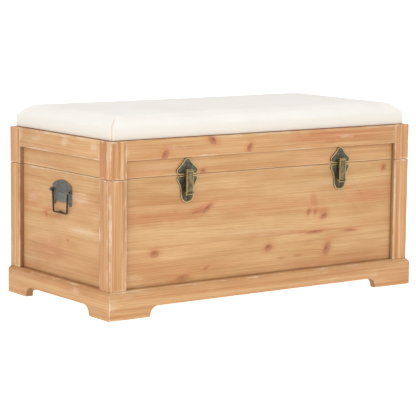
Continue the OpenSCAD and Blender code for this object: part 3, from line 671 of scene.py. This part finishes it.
g, given, out = newGroup(
    "agedMetal",
    [("Place", "NodeSocketVector", None), ("Rub", "NodeSocketFloat", 0.0), ("Rim", "NodeSocketFloat", 1.0),
     ("Dark", "NodeSocketColor", None), ("Patina", "NodeSocketColor", None),
     ("Bright", "NodeSocketColor", None)],
    [("Color", "NodeSocketColor"), ("Roughness", "NodeSocketFloat"), ("Height", "NodeSocketFloat")])
blotch = g.noise(given["Place"], 130.0, 4.0, 0.6)
pits = g.noise(given["Place"], 900.0, 3.0, 0.6)
brush = g.noise(g.vector("MULTIPLY", given["Place"], (260.0, 260.0, 2600.0)), 1.0, 2.0, 0.5)
# Rub runs from -1, a side face with painted shade, to 1, an edge rubbed bright
rub = g.product(g.math("MAXIMUM", given["Rub"], 0.0), g.span(blotch, 0.2, 0.55, 0.6, 1.0))
darkAndShade = g.product(g.math("MINIMUM", given["Rub"], 0.0), -1.0)
base = g.mix(g.span(blotch, 0.35, 0.68), given["Dark"], given["Patina"])
base = g.mix(g.span(pits, 0.52, 0.72, 0.0, 0.45), base, given["Dark"])
base = g.mix(g.span(brush, 0.5, 0.8, 0.0, 0.3), base, given["Bright"])
base = g.mix(rub, base, given["Bright"])
base = g.mix(darkAndShade, base, bronze["darkAndShade"])
base = g.mix(g.span(given["Rim"], *wornMetal["edge"], 0.85, 0.0), base, given["Bright"])
g.plug(base, out["Color"])
g.plug(g.math("SUBTRACT", g.math("ADD", 0.42, g.product(pits, 0.25)), g.product(rub, 0.14)), out["Roughness"])
g.plug(g.math("ADD", g.product(pits, 0.6), g.product(blotch, 0.6)), out["Height"])
metalGroup = g.tree


def metalMaterial(name, dark, patina, bright, metallic):
    material, shader = newMaterial(name)
    graph = Graph(material.node_tree)
    made = useGroup(graph, metalGroup, Place=graph.node("ShaderNodeTexCoord").outputs["Object"],
                    Rub=graph.attribute("rub", "Fac"), Rim=graph.nearest("rimLow", "rimHigh"),
                    Dark=bronze[dark], Patina=bronze[patina], Bright=bronze[bright])
    shader.inputs["Metallic"].default_value = metallic
    dress(graph, shader, made["Color"], made, *wornMetal["bump"])
    return material


bronzeMaterial = metalMaterial("darkBronze", "dark", "patina", "brass", 0.7)
leverMaterial = metalMaterial("brushedBronze", "warmDark", "warm", "brass", 0.7)
handleMaterial = metalMaterial("greyBronze", "grey", "greyPale", "patina", 0.6)
bailMaterial = metalMaterial("brownBronze", "darkAndShade", "warmDark", "warm", 0.6)
brassMaterial = metalMaterial("rubbedBrass", "patina", "warm", "brass", 0.8)
steelMaterial = metalMaterial("zincSteel", "steelDark", "steel", "steelPale", 0.9)


frontFace = -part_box("body_front_panel")[0].y
rimDepths = (0.0021, 0.0029)  # of a latch plate's raised rim, out from the panel


def softenMetal(piece, width, proud=None, darkAndShade=None):
    # bevelled edges are marked as rubbed, and so are the faces at the depths of a proud rim;
    # faces that look along the given axis are marked for painted shade, and the sheet's edges as bright
    piece.data.materials.append(None)
    piece.data.materials.append(None)
    soften(piece, width, material=1)
    mesh = piece.data
    rub = np.zeros(len(mesh.polygons))
    rimLow, rimHigh = farAway(mesh), farAway(mesh)
    points = meshPoints(mesh)
    low, high = points.min(0), points.max(0)
    for face in mesh.polygons:
        flat, sides = flatAxis(face)
        level = abs(face.center[1]) - frontFace
        onRim = proud is not None and proud[0] < level < proud[1] and abs(face.normal[1]) > 0.9
        if face.material_index == 1 or onRim:
            rub[face.index] = 1.0
        # painted shade on the side faces that look along the axis
        elif darkAndShade is not None and abs(face.normal[darkAndShade]) > 0.8:
            rub[face.index] = -wornMetal["darkAndShade"]
        face.material_index = 0
        if darkAndShade is None:
            continue
        for corner in face.loop_indices:
            point = points[mesh.loops[corner].vertex_index]
            rimLow[corner][:2] = [point[axis] - low[axis] for axis in sides]
            rimHigh[corner][:2] = [high[axis] - point[axis] for axis in sides]
    # rub holds rubbed wear above zero and painted shade below zero
    mesh.attributes.new("rub", "FLOAT", "FACE").data.foreach_set("value", rub)
    mesh.materials.clear()
    writeCorners(mesh, {"rimLow": rimLow, "rimHigh": rimHigh})


# material, slot, width of the softened edges, depths of a proud rim and axis of side faces with painted shade
metalNodes = {}
for side in ("left", "right"):
    metalNodes[side + "_latch_base"] = (bronzeMaterial, "bronze", 0.0004, rimDepths, None)
    metalNodes[side + "_latch_keeper"] = (bronzeMaterial, "bronze", 0.0004, rimDepths, None)
    metalNodes[side + "_latch_lever"] = (leverMaterial, "bronze", 0.0007, None, 0)
    metalNodes[side + "_latch_claw"] = (brassMaterial, "brass", 0.0006, None, 0)
    metalNodes[side + "_handle_plate"] = (handleMaterial, "bronze", 0.0004, None, None)
    metalNodes[side + "_handle_bail"] = (bailMaterial, "bronze", 0.0006, None, None)
for name in ("latch_rivets", "keeper_nails", "body_nails"):
    metalNodes[name] = (brassMaterial, "brass", 0.0002, None, None)
for name in ("hinge_body_leaves", "hinge_lid_leaves", "hinge_pins", "hinge_body_screws", "hinge_lid_screws",
             "stay_lower_link", "stay_upper_link", "stay_elbow_rivet", "stay_body_pivot", "stay_lid_pivot"):
    metalNodes[name] = (steelMaterial, "steel", 0.00015 if "screws" in name else 0.0003, None, None)
for name, (material, slot, width, proud, darkAndShade) in metalNodes.items():
    piece = copyOfNode(name)
    softenMetal(piece, width, proud, darkAndShade)
    finishPiece(piece, name, material)
print("scene: latches, handles, hinges and stay")


# seat cushion: a boxed cover over foam, puffed by cloth simulation, with a sewn seam at each corner
cushion = {
    "cells": (80, 40, 5),  # along each axis
    "levels": (0.0, 0.03, 0.28, 0.54, 0.8, 1.0),  # of the mesh lines up the side
    "bunch": 0.82,  # how far mesh lines crowd towards the ends
    "inset": 0.0003,
    "sideHigh": 0.0295,
    "shoulderRise": 0.0145,
    "shoulderWidth": 0.026,
    "shoulderRound": 2.3,
    "crownRise": 0.0030,
    "crownStart": 0.01,
    "crownReach": 0.14,
    "cornerRadius": 0.0045,
    "heldBelow": 0.6,  # shares of the side's height, held by the sewing and free above it
    "freeAbove": 1.05,
    "pressure": 3.0,
    "stiffness": 12,
    "bending": 2,
    "quality": 6,
    "frames": 20,
    "cap": 0.0035,  # the most that the fabric moves
}
coverLow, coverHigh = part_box("cushion_cover")
middle = (coverLow + coverHigh) / 2
halfX = coverHigh.x - cushion["inset"]
halfY = (coverHigh.y - coverLow.y) / 2 - cushion["inset"]
baseZ = coverLow.z
bpy.ops.object.select_all(action="DESELECT")
bpy.ops.mesh.primitive_cube_add(size=1, location=middle)
seat = bpy.context.active_object
seat.name = "seat_cushion"
seat.scale = coverHigh - coverLow
bpy.ops.object.transform_apply(location=True, rotation=True, scale=True)


def startSelecting(kind):
    # clears the selection, so that edges or faces can then be selected by their place
    bpy.ops.object.mode_set(mode="EDIT")
    bpy.ops.mesh.select_mode(type=kind)
    bpy.ops.mesh.select_all(action="DESELECT")
    bpy.ops.object.mode_set(mode="OBJECT")


for axis, cells in enumerate(cushion["cells"]):
    startSelecting("EDGE")
    for edge in seat.data.edges:
        run = seat.data.vertices[edge.vertices[1]].co - seat.data.vertices[edge.vertices[0]].co
        edge.select = abs(run[axis]) > 0.9 * run.length
    bpy.ops.object.mode_set(mode="EDIT")
    bpy.ops.mesh.subdivide(number_cuts=cells - 1)
    bpy.ops.object.mode_set(mode="OBJECT")
startSelecting("FACE")
for face in seat.data.polygons:
    face.select = face.normal.z < -0.9
bpy.ops.object.mode_set(mode="EDIT")
bpy.ops.mesh.dissolve_faces()
bpy.ops.object.mode_set(mode="OBJECT")


def bunched(share):
    # moves the mesh lines towards the two ends, -1 and 1
    reach = cushion["bunch"] * math.pi / 2
    return math.sin(share * reach) / math.sin(reach)


def roll(inward):
    # 0 at the cushion's side, 1 where the shoulder ends
    share = min(max(inward / cushion["shoulderWidth"], 0.0), 1.0)
    return 1 - (1 - share) ** cushion["shoulderRound"]


def coverShape(point):
    x = bunched((point.x - middle.x) / (coverHigh.x - middle.x)) * halfX
    y = bunched((point.y - middle.y) / (coverHigh.y - middle.y)) * halfY
    inX, inY = halfX - abs(x), halfY - abs(y)
    share = (point.z - coverLow.z) / (coverHigh.z - coverLow.z) * cushion["cells"][2]
    level = cushion["levels"][int(round(share))]
    if max(inX, inY) < cushion["cornerRadius"] * 0.3:
        x -= math.copysign(cushion["cornerRadius"] * 0.29, x)
        y -= math.copysign(cushion["cornerRadius"] * 0.29, y)
    crown = min(1.0, max(0.0, min(inX, inY) - cushion["crownStart"]) / cushion["crownReach"])
    top = (cushion["sideHigh"] + cushion["shoulderRise"] * roll(inX) * roll(inY)
           + cushion["crownRise"] * math.sin(crown * math.pi / 2))
    return Vector((middle.x + x, middle.y + y, baseZ + level * top))


for vertex in seat.data.vertices:
    vertex.co = coverShape(vertex.co)

start = np.array([vertex.co[:] for vertex in seat.data.vertices])
held = seat.vertex_groups.new(name="held")
for vertex in seat.data.vertices:
    high = (vertex.co.z - baseZ) / cushion["sideHigh"]
    grip = (cushion["freeAbove"] - high) / (cushion["freeAbove"] - cushion["heldBelow"])
    if grip > 0:
        held.add([vertex.index], min(grip, 1.0), "REPLACE")
cloth = seat.modifiers.new("puff", "CLOTH")
cloth.settings.vertex_group_mass = "held"
cloth.settings.use_pressure = True
cloth.settings.uniform_pressure_force = cushion["pressure"]
cloth.settings.effector_weights.gravity = 0
cloth.settings.quality = cushion["quality"]
cloth.settings.tension_stiffness = cushion["stiffness"]
cloth.settings.compression_stiffness = cushion["stiffness"]
cloth.settings.bending_stiffness = cushion["bending"]
for number in range(1, cushion["frames"] + 1):
    scene.frame_set(number)
select(seat)
bpy.ops.object.modifier_apply(modifier="puff")
scene.frame_set(1)
for vertex, was in zip(seat.data.vertices, start):
    moved = vertex.co - Vector(was)
    if moved.length > cushion["cap"]:
        moved = moved * cushion["cap"] / moved.length
    vertex.co = Vector(was) + moved
seat.vertex_groups.clear()
finer = seat.modifiers.new("finer", "SUBSURF")
finer.levels = 2
finer.render_levels = 2
select(seat)
bpy.ops.object.modifier_apply(modifier="finer")

# corner seams: a narrow groove from the lid up over the shoulder, between two soft folds
seam = {
    "width": 0.0012,
    "deep": 0.0009,
    "reach": 0.034,
    "fade": 0.012,
    "foldAway": 0.0045,
    "foldWidth": 0.0025,
    "foldHigh": 0.0005,
    "turnUp": 0.02,  # the lower it is, the sooner the seam turns from outward to upward
    "corner": 0.04,
}
stitching = np.zeros(len(seat.data.vertices))
for vertex in seat.data.vertices:
    point = vertex.co
    point.z = max(point.z, baseZ + 0.0002)
    inX = halfX - abs(point.x - middle.x)
    inY = halfY - abs(point.y - middle.y)
    inward = (inX + inY) / math.sqrt(2)
    if inward > seam["reach"] or max(inX, inY) > seam["corner"]:
        continue
    off = (inX - inY) / math.sqrt(2)
    fade = min(1.0, (seam["reach"] - inward) / seam["fade"])
    line = math.exp(-((off / seam["width"]) ** 2)) * fade
    folds = math.exp(-(((abs(off) - seam["foldAway"]) / seam["foldWidth"]) ** 2)) * seam["foldHigh"] * fade
    outX, outY = math.copysign(1, point.x - middle.x), math.copysign(1, point.y - middle.y)
    direction = Vector((outX, outY, inward / seam["turnUp"])).normalized()
    vertex.co = point + direction * (folds - line * seam["deep"])
    stitching[vertex.index] = line
seat.data.attributes.new("seam", "FLOAT", "POINT").data.foreach_set("value", stitching)
select(seat)
bpy.ops.object.shade_smooth()

cotton = {
    "thread": linear("FBF7F1"),
    "shade": linear("F2EBDD"),
    # painted shade for the cover's sides
    "side": linear("EEE8DC"),
    "seam": linear("D8B98E"),
    "threadsPerMetre": 1500.0,
    "sheen": 0.3,
    "bump": (0.25, 0.0003),
}
g, given, out = newGroup(
    "cottonWeave",
    [("Place", "NodeSocketVector", None), ("Facing", "NodeSocketVector", None)],
    [("Color", "NodeSocketColor"), ("Roughness", "NodeSocketFloat"), ("Height", "NodeSocketFloat")])
place = g.split(g.vector("SCALE", given["Place"], cotton["threadsPerMetre"] * math.pi))
waves = [g.math("SINE", place[axis]) for axis in range(3)]
facing = g.split(g.vector("ABSOLUTE", given["Facing"]))
weave = 0.0
for axis, (a, b) in enumerate(((1, 2), (0, 2), (0, 1))):
    weave = g.math("ADD", weave, g.product(waves[a], waves[b], g.math("POWER", facing[axis], 2.0)))
slub = g.noise(g.vector("MULTIPLY", given["Place"], (60.0, 900.0, 900.0)), 1.0, 2.0)
slubAcross = g.noise(g.vector("MULTIPLY", given["Place"], (900.0, 60.0, 60.0)), 1.0, 2.0)
cloud = g.noise(given["Place"], 9.0, 3.0)
base = g.mix(g.span(cloud, 0.35, 0.7, 0.0, 0.35), cotton["thread"], cotton["shade"])
base = g.mix(g.span(weave, -0.8, 0.2, 0.18, 0.0), base, cotton["shade"])
base = g.mix(g.span(slub, 0.55, 0.75, 0.0, 0.25), base, cotton["shade"])
# painted shade: the sides of the cover are darker and creamier than its top
base = g.mix(g.span(facing[2], 0.1, 0.75, 0.75, 0.0), base, cotton["side"])
g.plug(base, out["Color"])
g.plug(g.math("ADD", 0.82, g.product(slub, 0.1)), out["Roughness"])
g.plug(g.math("ADD", g.product(weave, 0.4), g.math("ADD", slub, slubAcross)), out["Height"])
coverMaterial, coverShader = newMaterial("creamCotton")
graph = Graph(coverMaterial.node_tree)
made = useGroup(graph, g.tree, Place=graph.node("ShaderNodeTexCoord").outputs["Object"],
                Facing=graph.node("ShaderNodeNewGeometry").outputs["True Normal"])
stitched = graph.mix(graph.product(graph.attribute("seam", "Fac"), 0.7), made["Color"], cotton["seam"])
coverShader.inputs["Sheen Weight"].default_value = cotton["sheen"]
dress(graph, coverShader, stitched, made, *cotton["bump"])
seat.data.materials.append(coverMaterial)
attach(seat, "lid")
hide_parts("cushion_cover", "cushion_foam")
print("scene: seat cushion")

low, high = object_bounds()
